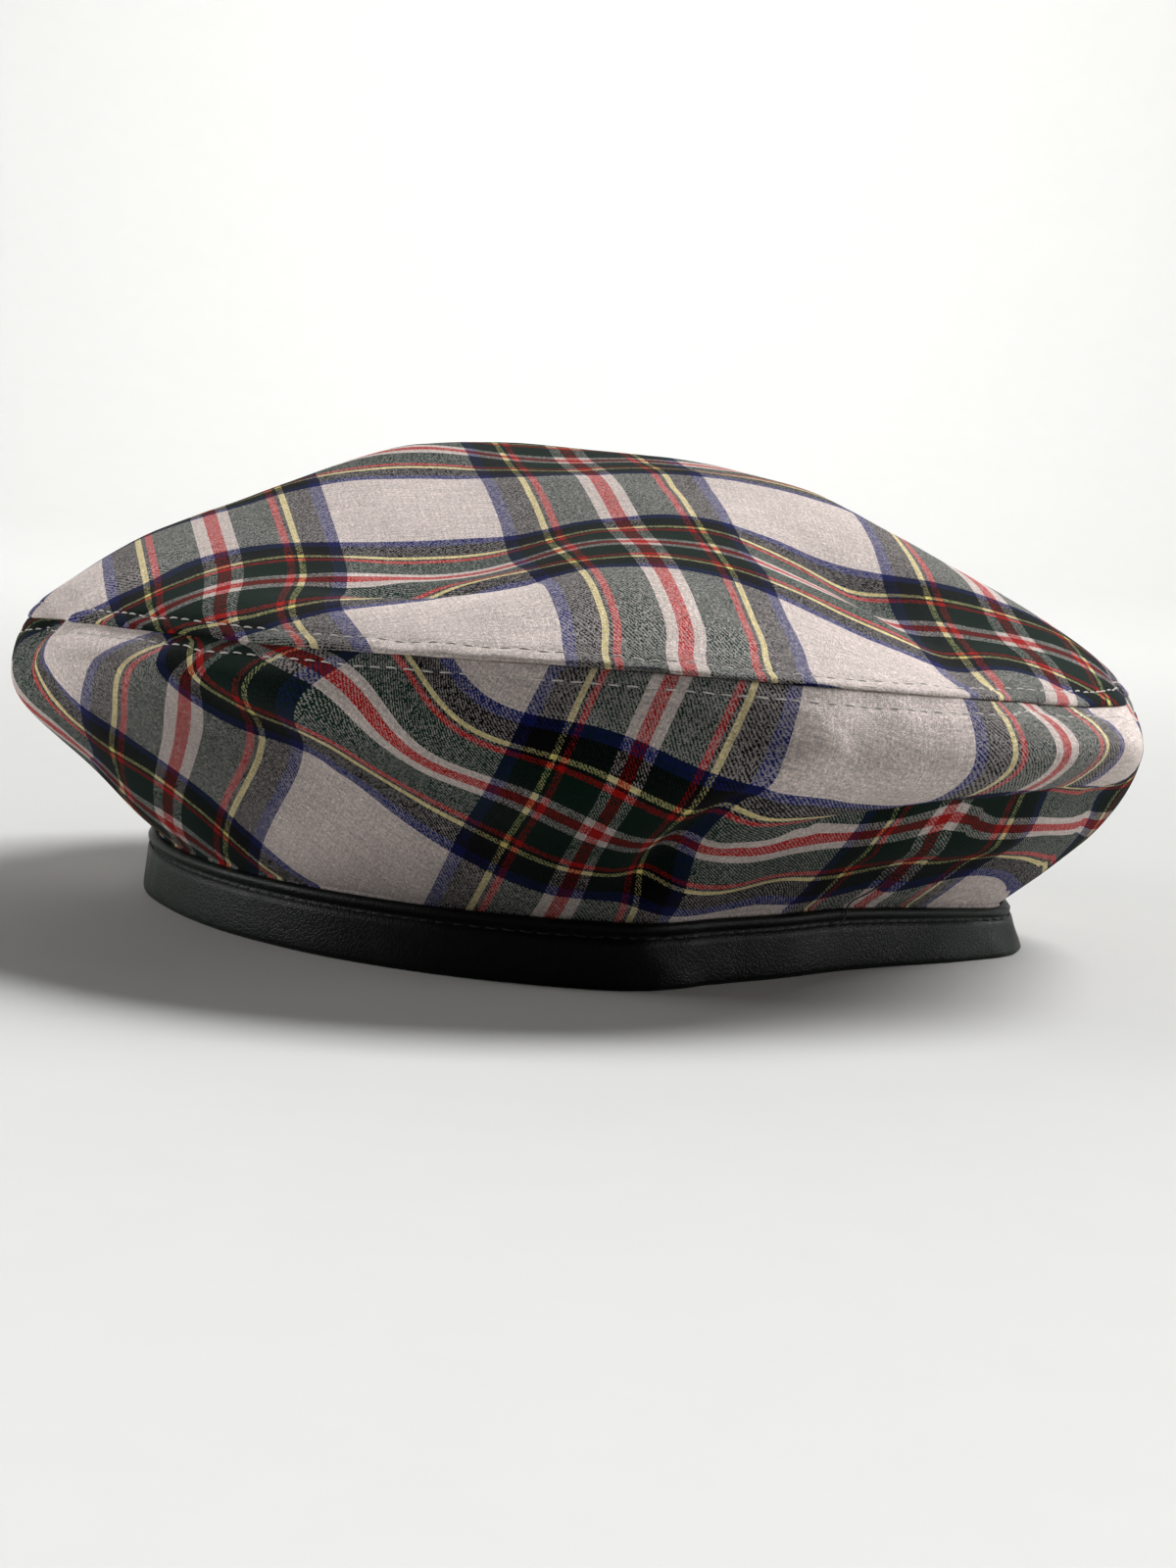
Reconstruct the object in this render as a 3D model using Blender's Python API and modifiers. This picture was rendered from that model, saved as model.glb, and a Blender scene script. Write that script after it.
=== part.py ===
"""Soft tartan cap: a flat, full crown of two cloth panels on a narrow leather head band.

A round top panel is seamed to a ring-shaped under panel. The under panel narrows to the head
opening, and its edge is tucked into a leather strip that is folded round it. The cap lies on
its band, empty, so the crown is tilted and dented as loose cloth is.

Sizes are in millimetres here, and become metres where a mesh is made. An azimuth is in degrees
about the head opening: 0 is the front (-Y), 90 is +X and 270 is -X. A reach runs along a panel:
on the top panel from its middle (0) to the seam (1), on the under panel from the seam (0) to
the band (1).
"""
import bmesh
import bpy
import numpy as np

MM = 0.001
CLOTH_THICKNESS = 1.4
SEAM_GAP = 0.3              # between the edges of the two panels
SEAM_STAND = 2.2            # cloth that stands upright on each side of the seam
SEGMENTS = 64               # steps around each panel
OPENING_CENTRE = (3.0, 2.1)     # place of the head opening in the part's frame

# Folded leather strip: two leaves, joined along the bottom, with the cloth between them
BAND_HEIGHT = 13.5          # where it stands upright
LEAF_THICKNESS = 1.3
BAND_DEPTH = 4.8            # outer face to inner face
BAND_FOLD = 4.5             # solid leather under the slot
BAND_EDGE = 0.9             # bevel along the bottom edges
LIP_HEIGHT = 2.4            # turned lip along the top of the outer leaf
LIP_STAND = 0.4             # how far the lip stands out of the leaf
CLOTH_TUCK = 7.5            # how far the under panel goes down into the slot
COLLAR_RISE = 2.4           # rise over the band by which the cloth has turned outwards
COLLAR_FLARE = 2.6          # how far outwards it has gone by then
COLLAR_START = 0.4          # height over the band where the turn starts

# Top panel: the cloth's height at a seam and at four distances from the middle
TOP_MIDDLE_HEIGHT = 96.5
TOP_DISTANCES = (30.0, 60.0, 85.0, 105.0)
TOP_SECTIONS = [
    # azimuth, seam radius, seam height, height at 30, at 60, at 85, at 105
    (0,   121.0, 65.0,  88.5,  84.0,  79.0, 72.0),
    (30,  120.0, 62.8,  91.0,  83.0,  74.5, 67.5),
    (60,  118.0, 59.0,  92.0,  78.0,  71.0, 67.0),
    (90,  119.0, 57.0,  94.5,  87.0,  79.0, 68.5),
    (120, 117.5, 55.0,  98.5,  95.0,  80.5, 66.5),
    (150, 118.0, 52.0, 100.0,  99.0,  81.5, 64.0),
    (180, 118.0, 50.0, 100.0, 101.0,  82.0, 63.0),
    (210, 118.0, 50.0,  99.0, 102.0,  82.5, 63.5),
    (240, 120.0, 52.0,  97.5,  99.5,  83.5, 67.0),
    (270, 125.5, 57.5,  94.5,  93.0,  85.0, 75.5),
    (300, 121.5, 61.8,  90.0,  84.0,  78.5, 72.0),
    (330, 120.5, 63.6,  87.0,  77.5,  73.5, 71.0),
]
# Under panel: the fullest point under the seam, and the point where it turns in to the band
UNDER_SECTIONS = [
    # azimuth, fullest radius, fullest height, turn radius, turn height
    (0,   124.0, 47.0, 105.0, 26.0),
    (30,  125.0, 51.0,  97.0, 31.0),
    (60,  125.0, 54.0, 105.0, 33.0),
    (75,  121.0, 50.0, 109.0, 30.0),
    (90,  122.0, 45.0, 114.5, 27.5),
    (120, 121.0, 44.0, 111.0, 27.0),
    (150, 121.0, 42.0, 110.0, 26.0),
    (180, 121.0, 41.0, 109.0, 26.0),
    (210, 122.0, 41.0, 109.0, 26.0),
    (240, 124.0, 42.0, 109.0, 26.0),
    (270, 127.5, 43.0, 110.5, 27.5),
    (300, 127.0, 56.0, 110.0, 31.0),
    (330, 126.0, 57.5, 106.0, 37.0),
]
# Head band: its outline from above, along its lip; its height, and how far its foot stands out
BAND_SECTIONS = [
    # azimuth, radius, height, flare
    (0,   94.5, 13.5, 0.0),
    (8,   93.5, 13.5, 0.3),     # kink, and a straight run up to the next one
    (20,  84.0, 13.4, 0.5),
    (32,  79.0, 13.3, 0.8),
    (45,  76.5, 13.2, 1.0),
    (58,  79.3, 12.4, 1.6),
    (70,  86.8, 11.4, 2.6),
    (80,  94.0, 10.3, 4.0),     # kink, with the strip pressed down and outwards
    (90,  94.6, 10.2, 4.2),
    (105, 95.0, 12.0, 2.0),
    (120, 96.0, 13.0, 0.8),
    (150, 95.5, 13.5, 0.0),
    (180, 94.5, 13.5, 0.0),
    (240, 95.0, 13.5, 0.0),
    (270, 96.5, 13.5, 1.0),
    (300, 93.8, 13.5, 0.3),
    (345, 94.0, 13.5, 0.0),
]
# Folds, each along a line on a panel: a ridge stands out (+) and a valley is pressed in (-)
FOLDS = [
    # panel, from azimuth, reach, to azimuth, reach, half width, height
    ("top",   280, 1.00, 292, 1.00,  5.0, -5.5),    # pinched seam at the left end
    ("top",   296, 1.00, 334, 1.00,  6.0, -1.3),    # the pinch runs on along the seam
    ("top",   325, 0.72, 352, 0.64,  6.0, -1.8),    # crease over the left front
    ("top",    66, 0.45,  40, 0.95,  8.0, -2.0),    # crease down the right front
    ("top",    44, 1.00,  50, 1.00,  5.0, -2.5),    # pucker of the seam
    ("top",    76, 1.00,  86, 1.00,  6.0, -4.0),    # pucker at the right end
    ("top",   118, 0.55, 128, 1.00,  9.0, -3.5),
    ("top",   168, 0.60, 172, 1.00, 10.0, -3.0),
    ("top",   212, 0.62, 206, 1.00,  9.0, -3.5),
    ("top",   244, 0.60, 250, 0.98,  8.0, -2.5),
    ("under",  15, 0.28,  22, 0.10,  5.0,  1.8),    # ridge up to the seam
    ("under",   6, 0.88,  15, 0.32,  5.0, -3.2),    # long crease, right of the middle
    ("under",  25, 0.56,  36, 0.45,  5.0, -4.0),    # tuck under the right front
    ("under",  36, 0.45,  80, 0.40,  5.0, -4.2),
    ("under",  36, 0.66,  62, 0.60,  6.0,  2.0),    # second bulge below the tuck
    ("under", 284, 0.04, 300, 0.30,  6.0, -2.5),    # crease down from the pinch
    ("under", 318, 0.10, 332, 0.55, 10.0, -2.0),
    ("under", 104, 0.10, 112, 0.70,  9.0, -3.5),
    ("under", 146, 0.25, 138, 0.80,  8.0, -3.5),
    ("under", 186, 0.08, 180, 0.75,  9.0, -4.0),
    ("under", 222, 0.20, 232, 0.80,  9.0, -3.5),
]
FOLD_SAMPLES = 9            # points along each fold's line
FOLD_TAPER = 0.3            # share of a fold's length over which each end fades out
SEAM_BLEND = 14.0           # near the seam, within this distance, folds push straight out
NECK_BLEND = 0.22           # share of the under panel, next to the band, that folds fade over

TOP_RINGS = (0.10, 0.21, 0.32, 0.43, 0.53, 0.62, 0.70, 0.77, 0.83, 0.88, 0.925, 0.965)
UNDER_RINGS = (0.07, 0.15, 0.23, 0.31, 0.40, 0.49, 0.58, 0.67, 0.76, 0.84, 0.92)

CLOTH_COLOUR = (0.52, 0.49, 0.47, 1.0)
LEATHER_COLOUR = (0.012, 0.014, 0.013, 1.0)


def smooth_step(value):
    """Ease from 0 to 1 as the value goes from 0 to 1."""
    value = np.clip(value, 0.0, 1.0)
    return value * value * (3.0 - 2.0 * value)


def around(rows, column, azimuth):
    """Value of a table's column at these azimuths, on a closed smooth curve through its rows."""
    at = np.array([row[0] for row in rows], float)
    value = np.array([row[column] for row in rows], float)
    at = np.concatenate([[at[-1] - 360.0], at, [at[0] + 360.0, at[1] + 360.0]])
    value = np.concatenate([[value[-1]], value, [value[0], value[1]]])
    slope = np.gradient(value, at)
    place = np.mod(azimuth, 360.0)
    i = np.clip(np.searchsorted(at, place, side="right") - 1, 0, len(at) - 2)
    step = at[i + 1] - at[i]
    u = (place - at[i]) / step
    return hermite(value[i], value[i + 1], slope[i] * step, slope[i + 1] * step, u)


def hermite(start, end, start_slope, end_slope, u):
    """Cubic from start to end with these end slopes."""
    return ((2 * u**3 - 3 * u**2 + 1) * start + (u**3 - 2 * u**2 + u) * start_slope
            + (3 * u**2 - 2 * u**3) * end + (u**3 - u**2) * end_slope)


def profile(knots, reach, first=0):
    """Radius and height at each reach, on a smooth curve through the knots.

    knots is a list of (radius, height) pairs of arrays, one value for each point asked for.
    Reach 0 is the knot called first, and reach 1 is the last one.
    """
    knots = np.array(knots)
    chord = np.sqrt(((knots[1:] - knots[:-1]) ** 2).sum(axis=1))
    at = np.concatenate([np.zeros((1, knots.shape[2])), np.cumsum(chord, axis=0)])
    rate = (knots[1:] - knots[:-1]) / chord[:, None]
    slope = np.empty_like(knots)
    before, after = chord[:-1, None], chord[1:, None]
    slope[1:-1] = (rate[:-1] * after + rate[1:] * before) / (before + after)
    slope[0] = 2 * rate[0] - slope[1]
    slope[-1] = 2 * rate[-1] - slope[-2]
    place = at[first] + reach * (at[-1] - at[first])
    i = np.clip((place >= at).sum(axis=0) - 1, 0, len(knots) - 2)
    n = np.arange(knots.shape[2])
    step = chord[i, n]
    u = (place - at[i, n]) / step
    return [hermite(knots[i, c, n], knots[i + 1, c, n], slope[i, c, n] * step,
                    slope[i + 1, c, n] * step, u) for c in (0, 1)]


def polar(azimuth, radius, height):
    """Points from azimuth, radius and height about the head opening."""
    angle = np.radians(azimuth)
    return np.stack([radius * np.sin(angle), -radius * np.cos(angle), height], axis=-1)


def spoke(azimuth):
    """Level unit directions straight out from the head opening."""
    return polar(azimuth, np.ones_like(azimuth), np.zeros_like(azimuth))


def top_point(azimuth, reach):
    """Smooth top panel, before it is folded."""
    flat = np.zeros_like(azimuth)
    behind = (flat - TOP_DISTANCES[0], around(TOP_SECTIONS, 3, azimuth + 180.0))
    middle = (flat, flat + TOP_MIDDLE_HEIGHT)
    rings = [(flat + distance, around(TOP_SECTIONS, 3 + i, azimuth))
             for i, distance in enumerate(TOP_DISTANCES)]
    seam = (around(TOP_SECTIONS, 1, azimuth), around(TOP_SECTIONS, 2, azimuth) + SEAM_STAND)
    return polar(azimuth, *profile([behind, middle, *rings, seam], reach, first=1))


def band_point(azimuth, inset, height):
    """Points of the upright band's section, set where the band leans and is pressed down."""
    share = height / BAND_HEIGHT
    radius = around(BAND_SECTIONS, 1, azimuth) + around(BAND_SECTIONS, 3, azimuth) * (1.0 - share)
    return polar(azimuth, radius - inset, around(BAND_SECTIONS, 2, azimuth) * share)


def neck_inset():
    """Outer face of the cloth in the band's slot, midway between the leaves, from the outer face."""
    slack = (BAND_DEPTH - 2 * LEAF_THICKNESS - CLOTH_THICKNESS) / 2
    return LEAF_THICKNESS + slack


def under_point(azimuth, reach):
    """Smooth under panel, before it is folded."""
    neck = around(BAND_SECTIONS, 1, azimuth) - neck_inset()
    mouth = around(BAND_SECTIONS, 2, azimuth)
    knots = [(around(TOP_SECTIONS, 1, azimuth), around(TOP_SECTIONS, 2, azimuth) - SEAM_STAND),
             (around(UNDER_SECTIONS, 1, azimuth), around(UNDER_SECTIONS, 2, azimuth)),
             (around(UNDER_SECTIONS, 3, azimuth), around(UNDER_SECTIONS, 4, azimuth)),
             (neck + COLLAR_FLARE, mouth + COLLAR_RISE),
             (neck, mouth + COLLAR_START)]
    return polar(azimuth, *profile(knots, reach))


PANELS = {"top": top_point, "under": under_point}


def outward(panel, azimuth, reach):
    """Unit directions out of a smooth panel."""
    turn, slide = 0.5, 0.004
    point = PANELS[panel]
    across = point(azimuth + turn, reach) - point(azimuth - turn, reach)
    along = point(azimuth, reach + slide) - point(azimuth, reach - slide)
    normal = np.cross(along, across)
    return normal / np.linalg.norm(normal, axis=-1, keepdims=True)


def fold_height(points):
    """How far all the folds together move these points."""
    total = np.zeros(len(points))
    share = np.linspace(0.0, 1.0, FOLD_SAMPLES)
    for panel, azimuth, reach, to_azimuth, to_reach, half_width, height in FOLDS:
        line = PANELS[panel](azimuth + share * (to_azimuth - azimuth), reach + share * (to_reach - reach))
        start, step = line[:-1], line[1:] - line[:-1]
        away = points[:, None] - start
        u = np.clip((away * step).sum(axis=2) / (step ** 2).sum(axis=1), 0.0, 1.0)
        distance = np.linalg.norm(away - u[..., None] * step, axis=2)
        nearest = distance.argmin(axis=1)
        pick = np.arange(len(points))
        along = (nearest + u[pick, nearest]) / len(start)
        fade = smooth_step((along + FOLD_TAPER / 2) / FOLD_TAPER)
        fade = fade * smooth_step((1.0 + FOLD_TAPER / 2 - along) / FOLD_TAPER)
        total += height * fade * np.exp(-(distance[pick, nearest] / half_width) ** 2)
    return total


def folded(panel, azimuth, reach):
    """Points of a panel with its folds pressed in."""
    points = PANELS[panel](azimuth, reach)
    edge = PANELS[panel](azimuth, np.full_like(azimuth, 1.0 if panel == "top" else 0.0))
    near_seam = 1.0 - smooth_step(np.linalg.norm(points - edge, axis=-1) / SEAM_BLEND)[:, None]
    way = (1.0 - near_seam) * outward(panel, azimuth, reach) + near_seam * spoke(azimuth)
    way /= np.linalg.norm(way, axis=-1, keepdims=True)
    keep = np.ones(len(points))
    if panel == "under":
        keep = smooth_step((1.0 - reach) / NECK_BLEND)
    return points + way * (fold_height(points) * keep)[:, None]


def seam_line(azimuth):
    """The seam between the panels, with its puckers."""
    line = polar(azimuth, around(TOP_SECTIONS, 1, azimuth), around(TOP_SECTIONS, 2, azimuth))
    return line + spoke(azimuth) * fold_height(line)[:, None]


def loft(name, rings, middle=None, closed=False):
    """Mesh through rings of points, from the top down, with a fan to a middle point if there is one."""
    mesh = bmesh.new()
    shift = np.array([*OPENING_CENTRE, 0.0])
    rows = [[mesh.verts.new((point + shift) * MM) for point in ring] for ring in rings]
    pairs = list(zip(rows, rows[1:] + rows[:1] if closed else rows[1:]))
    for upper, lower in pairs:
        for i in range(SEGMENTS):
            after = (i + 1) % SEGMENTS
            mesh.faces.new((upper[i], lower[i], lower[after], upper[after]))
    if middle is not None:
        centre = mesh.verts.new((middle + shift) * MM)
        for i in range(SEGMENTS):
            mesh.faces.new((centre, rows[0][i], rows[0][(i + 1) % SEGMENTS]))
    data = bpy.data.meshes.new(name)
    mesh.to_mesh(data)
    mesh.free()
    data.shade_smooth()
    piece = bpy.data.objects.new(name, data)
    cap.objects.link(piece)
    return piece


def give_wall(piece, thickness):
    """Give an open sheet its wall, inwards."""
    wall = piece.modifiers.new("wall", "SOLIDIFY")
    wall.thickness = thickness * MM
    wall.offset = -1.0
    wall.use_even_offset = True
    wall.use_quality_normals = True


def finish(piece, name, colour, roughness):
    """Plain material of a piece."""
    material = bpy.data.materials.new(name)
    material.use_nodes = True
    shader = material.node_tree.nodes["Principled BSDF"]
    shader.inputs["Base Color"].default_value = colour
    shader.inputs["Roughness"].default_value = roughness
    shader.inputs["Metallic"].default_value = 0.0
    material.diffuse_color = colour
    piece.data.materials.append(material)


def make_crown_top(azimuth):
    """Round top panel, down to an upright edge at the seam."""
    rings = [folded("top", azimuth, np.full_like(azimuth, reach)) for reach in TOP_RINGS]
    seam = seam_line(azimuth)
    rings += [seam + (0.0, 0.0, SEAM_STAND), seam + (0.0, 0.0, SEAM_GAP / 2)]
    piece = loft("crown_top", rings, middle=np.array([0.0, 0.0, TOP_MIDDLE_HEIGHT]))
    give_wall(piece, CLOTH_THICKNESS)
    finish(piece, "tartan_cloth_top", CLOTH_COLOUR, 0.9)


def make_crown_under(azimuth):
    """Ring-shaped under panel, from an upright edge at the seam down into the band's slot."""
    seam = seam_line(azimuth)
    rings = [seam - (0.0, 0.0, SEAM_GAP / 2), seam - (0.0, 0.0, SEAM_STAND)]
    rings += [folded("under", azimuth, np.full_like(azimuth, reach)) for reach in UNDER_RINGS]
    mouth = under_point(azimuth, np.ones_like(azimuth))
    tucked = band_point(azimuth, neck_inset(), BAND_HEIGHT - CLOTH_TUCK)
    rings += [mouth, (mouth + tucked) / 2, tucked]
    piece = loft("crown_under", rings)
    give_wall(piece, CLOTH_THICKNESS)
    finish(piece, "tartan_cloth_under", CLOTH_COLOUR, 0.9)


def make_head_band(azimuth):
    """Leather strip folded up round the cloth's edge, with a turned lip on the outer leaf."""
    slot_outer = LEAF_THICKNESS
    slot_inner = BAND_DEPTH - LEAF_THICKNESS
    lip_base = BAND_HEIGHT - LIP_HEIGHT
    section = [
        # inwards from the outer face, height
        (slot_outer, BAND_HEIGHT),
        (LIP_STAND, BAND_HEIGHT),
        (-LIP_STAND, BAND_HEIGHT - LIP_HEIGHT / 3),
        (-LIP_STAND, lip_base + LIP_HEIGHT / 3),
        (0.0, lip_base),
        (0.0, BAND_EDGE),
        (BAND_EDGE, 0.0),
        (BAND_DEPTH - BAND_EDGE, 0.0),
        (BAND_DEPTH, BAND_EDGE),
        (BAND_DEPTH, BAND_HEIGHT),
        (slot_inner, BAND_HEIGHT),
        (slot_inner, BAND_FOLD),
        (slot_outer, BAND_FOLD),
    ]
    rings = [band_point(azimuth, inset, height) for inset, height in section]
    piece = loft("head_band", rings, closed=True)
    finish(piece, "black_leather", LEATHER_COLOUR, 0.45)


for old in list(bpy.data.objects):
    bpy.data.objects.remove(old, do_unlink=True)
cap = bpy.data.collections.new("tartan_cap")
bpy.context.scene.collection.children.link(cap)

steps = np.arange(SEGMENTS) * 360.0 / SEGMENTS
make_crown_top(steps)
make_crown_under(steps)
make_head_band(steps)
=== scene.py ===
"""Looks of a soft tartan cap: two cloth panels, a leather head band, the sewing, and a plain setting.

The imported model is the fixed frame. Each cloth panel and the band are remade here as finer meshes in
the same place, from the same tables of sections and folds, with the seam, the puckers and the
pattern of the cloth on them. Tables are in millimetres and degrees; settings are in metres.

An azimuth is about the head opening: 0 is the front (-Y), 90 is +X and 270 is -X. A reach runs along
a panel: on the top panel from its middle (0) to the seam (1), on the under panel from the seam (0)
to the band (1).
"""
import math
from functools import partial

import bpy
import numpy as np
from bpy.props import FloatProperty, FloatVectorProperty, IntProperty, PointerProperty
from mathutils import Matrix, Vector, noise


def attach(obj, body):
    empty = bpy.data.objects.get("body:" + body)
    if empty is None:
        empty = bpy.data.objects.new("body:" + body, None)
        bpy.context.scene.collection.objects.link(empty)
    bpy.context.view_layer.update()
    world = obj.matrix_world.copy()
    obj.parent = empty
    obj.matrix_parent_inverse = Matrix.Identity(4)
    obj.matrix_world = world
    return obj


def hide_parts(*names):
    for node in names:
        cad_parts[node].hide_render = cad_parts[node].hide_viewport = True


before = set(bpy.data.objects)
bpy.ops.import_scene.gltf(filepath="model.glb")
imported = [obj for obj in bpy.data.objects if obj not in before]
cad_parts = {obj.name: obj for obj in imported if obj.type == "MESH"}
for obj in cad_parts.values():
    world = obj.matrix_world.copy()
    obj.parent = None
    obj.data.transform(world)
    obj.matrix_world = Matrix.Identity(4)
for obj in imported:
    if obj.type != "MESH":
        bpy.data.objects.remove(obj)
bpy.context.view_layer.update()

bl_info = {
    "name": "Tartan Cap",
    "version": (1, 0, 0),
    "blender": (4, 5, 0),
    "location": "3D View > Sidebar > Tartan Cap",
    "description": "Builds a soft tartan cap with a leather head band, its sewing and a plain setting",
    "category": "Add Mesh",
}

MM = 0.001

# ---- Shape, as in the part's source --------------------------------------------------------
SEAM_STAND = 0.7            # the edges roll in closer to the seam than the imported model's do
OPENING_CENTRE = (3.0, 2.1)
BAND_HEIGHT = 13.5
LEAF_THICKNESS = 1.3
BAND_DEPTH = 4.8
BAND_FOLD = 4.5
LIP_HEIGHT = 2.4
CLOTH_ROOM = 1.4            # the cloth's room in the band's slot
CLOTH_TUCK = 7.5
COLLAR_RISE = 2.4
COLLAR_FLARE = 2.6
COLLAR_START = 0.4
TOP_MIDDLE_HEIGHT = 96.5
TOP_DISTANCES = (30.0, 60.0, 85.0, 105.0)
TOP_SECTIONS = [
    # azimuth, seam radius, seam height, height at 30, at 60, at 85, at 105
    (0,   121.0, 65.0,  88.5,  84.0,  79.0, 72.0),
    (30,  120.0, 62.8,  91.0,  83.0,  74.5, 67.5),
    (60,  118.0, 59.0,  92.0,  78.0,  71.0, 67.0),
    (90,  119.0, 57.0,  94.5,  87.0,  79.0, 68.5),
    (120, 117.5, 55.0,  98.5,  95.0,  80.5, 66.5),
    (150, 118.0, 52.0, 100.0,  99.0,  81.5, 64.0),
    (180, 118.0, 50.0, 100.0, 101.0,  82.0, 63.0),
    (210, 118.0, 50.0,  99.0, 102.0,  82.5, 63.5),
    (240, 120.0, 52.0,  97.5,  99.5,  83.5, 67.0),
    (270, 125.5, 57.5,  94.5,  93.0,  85.0, 75.5),
    (300, 121.5, 61.8,  90.0,  84.0,  78.5, 72.0),
    (330, 120.5, 63.6,  87.0,  77.5,  73.5, 71.0),
]
UNDER_SECTIONS = [
    # azimuth, fullest radius, fullest height, turn radius, turn height
    (0,   124.0, 47.0, 105.0, 26.0),
    (30,  125.0, 51.0,  97.0, 31.0),
    (60,  125.0, 54.0, 105.0, 33.0),
    (75,  121.0, 50.0, 109.0, 30.0),
    (90,  122.0, 45.0, 114.5, 27.5),
    (120, 121.0, 44.0, 111.0, 27.0),
    (150, 121.0, 42.0, 110.0, 26.0),
    (180, 121.0, 41.0, 109.0, 26.0),
    (210, 122.0, 41.0, 109.0, 26.0),
    (240, 124.0, 42.0, 109.0, 26.0),
    (270, 127.5, 43.0, 110.5, 27.5),
    (300, 127.0, 56.0, 110.0, 31.0),
    (330, 126.0, 57.5, 106.0, 37.0),
]
BAND_SECTIONS = [
    # azimuth, radius, height, flare
    (0,   94.5, 13.5, 0.0),
    (8,   93.5, 13.5, 0.3),     # kink, and a straight run up to the next one
    (20,  84.0, 13.4, 0.5),
    (32,  79.0, 13.3, 0.8),
    (45,  76.5, 13.2, 1.0),
    (58,  79.3, 12.4, 1.6),
    (70,  86.8, 11.4, 2.6),
    (80,  94.0, 10.3, 4.0),     # kink, with the strip pressed down and outwards
    (90,  94.6, 10.2, 4.2),
    (105, 95.0, 12.0, 2.0),
    (120, 96.0, 13.0, 0.8),
    (150, 95.5, 13.5, 0.0),
    (180, 94.5, 13.5, 0.0),
    (240, 95.0, 13.5, 0.0),
    (270, 96.5, 13.5, 1.0),
    (300, 93.8, 13.5, 0.3),
    (345, 94.0, 13.5, 0.0),
]
FOLDS = [
    # panel, from azimuth, reach, to azimuth, reach, half width, height
    ("top",   280, 1.00, 292, 1.00,  5.0, -5.5),    # pinched seam at the left end
    ("top",   296, 1.00, 334, 1.00,  6.0, -1.3),    # the pinch runs on along the seam
    ("top",   325, 0.72, 352, 0.64,  6.0, -1.8),    # crease over the left front
    ("top",    66, 0.45,  40, 0.95,  8.0, -2.0),    # crease down the right front
    ("top",    44, 1.00,  50, 1.00,  5.0, -2.5),    # pucker of the seam
    ("top",    76, 1.00,  86, 1.00,  6.0, -4.0),    # pucker at the right end
    ("top",   118, 0.55, 128, 1.00,  9.0, -3.5),
    ("top",   168, 0.60, 172, 1.00, 10.0, -3.0),
    ("top",   212, 0.62, 206, 1.00,  9.0, -3.5),
    ("top",   244, 0.60, 250, 0.98,  8.0, -2.5),
    ("under",  15, 0.28,  22, 0.10,  5.0,  1.8),    # ridge up to the seam
    ("under",   6, 0.88,  15, 0.32,  5.0, -3.2),    # long crease, right of the middle
    ("under",  25, 0.56,  36, 0.45,  5.0, -4.0),    # tuck under the right front
    ("under",  36, 0.45,  80, 0.40,  5.0, -4.2),
    ("under",  36, 0.66,  62, 0.60,  6.0,  2.0),    # second bulge below the tuck
    ("under", 284, 0.04, 300, 0.30,  6.0, -2.5),    # crease down from the pinch
    ("under", 318, 0.10, 332, 0.55, 10.0, -2.0),
    ("under", 104, 0.10, 112, 0.70,  9.0, -3.5),
    ("under", 146, 0.25, 138, 0.80,  8.0, -3.5),
    ("under", 186, 0.08, 180, 0.75,  9.0, -4.0),
    ("under", 222, 0.20, 232, 0.80,  9.0, -3.5),
]
FOLD_SAMPLES = 9
FOLD_TAPER = 0.3
SEAM_BLEND = 14.0
NECK_BLEND = 0.22

# ---- Finer shape, only here ----------------------------------------------------------------
STEPS = 440                 # around each piece
SEAM_CURL = [
    # how the edge of a panel rolls in to the seam: inwards, away from the seam's plane
    (0.0,  0.3),
    (0.06, 0.2),
    (0.2,  0.1),
    (0.6,  0.05),
    (1.5,  0.05),
]
RING_SPACING = [
    # up to this distance from the seam, distance between rings
    (6.0, 0.7),
    (16.0, 1.2),
    (400.0, 2.1),
]
STITCH_ROWS = {"top": 4.0, "under": 3.2}      # from the seam to the row of topstitching on each panel
PANEL_LENGTH = {"top": 140.0, "under": 68.0}  # length of cloth that a panel's rings are spaced on
TOP_MIDDLE = (0.0, 0.0, TOP_MIDDLE_HEIGHT)
MIDDLE_FAN = 3.0            # the rings stop this far from the top panel's middle, and a fan closes it
TUCK_RINGS = (0.33, 0.66, 1.0)                # shares of the way down the band's slot
SLOT_BLEND = 6.0            # height over the band in which the slackness fades out
UNEVEN = {
    # size of the bumps, height: the slackness of cloth that nothing stretches
    "top": [(26.0, 0.7), (11.0, 0.22)],
    "under": [(24.0, 0.7), (10.0, 0.25)],
}
PUCKER_SIZE = 6.5           # length of the puckers along a stitched seam
PUCKER_HEIGHT = 0.45
PUCKER_SPREAD = 4.5         # how far they reach from the stitches
PUCKER_START = {"top": 3.0, "under": 9.0}     # where in the noise they start, so that the panels differ
STITCH_SINK = 0.22          # how deep the stitches draw the cloth in
SINK_WIDTH = 0.7
ROLL_HEIGHT = {"top": 0.3, "under": 0.35}     # how far the seam allowances inside push the edges out
ROLL_PLACE = 5.5            # distance from the seam at which they push most

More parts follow.
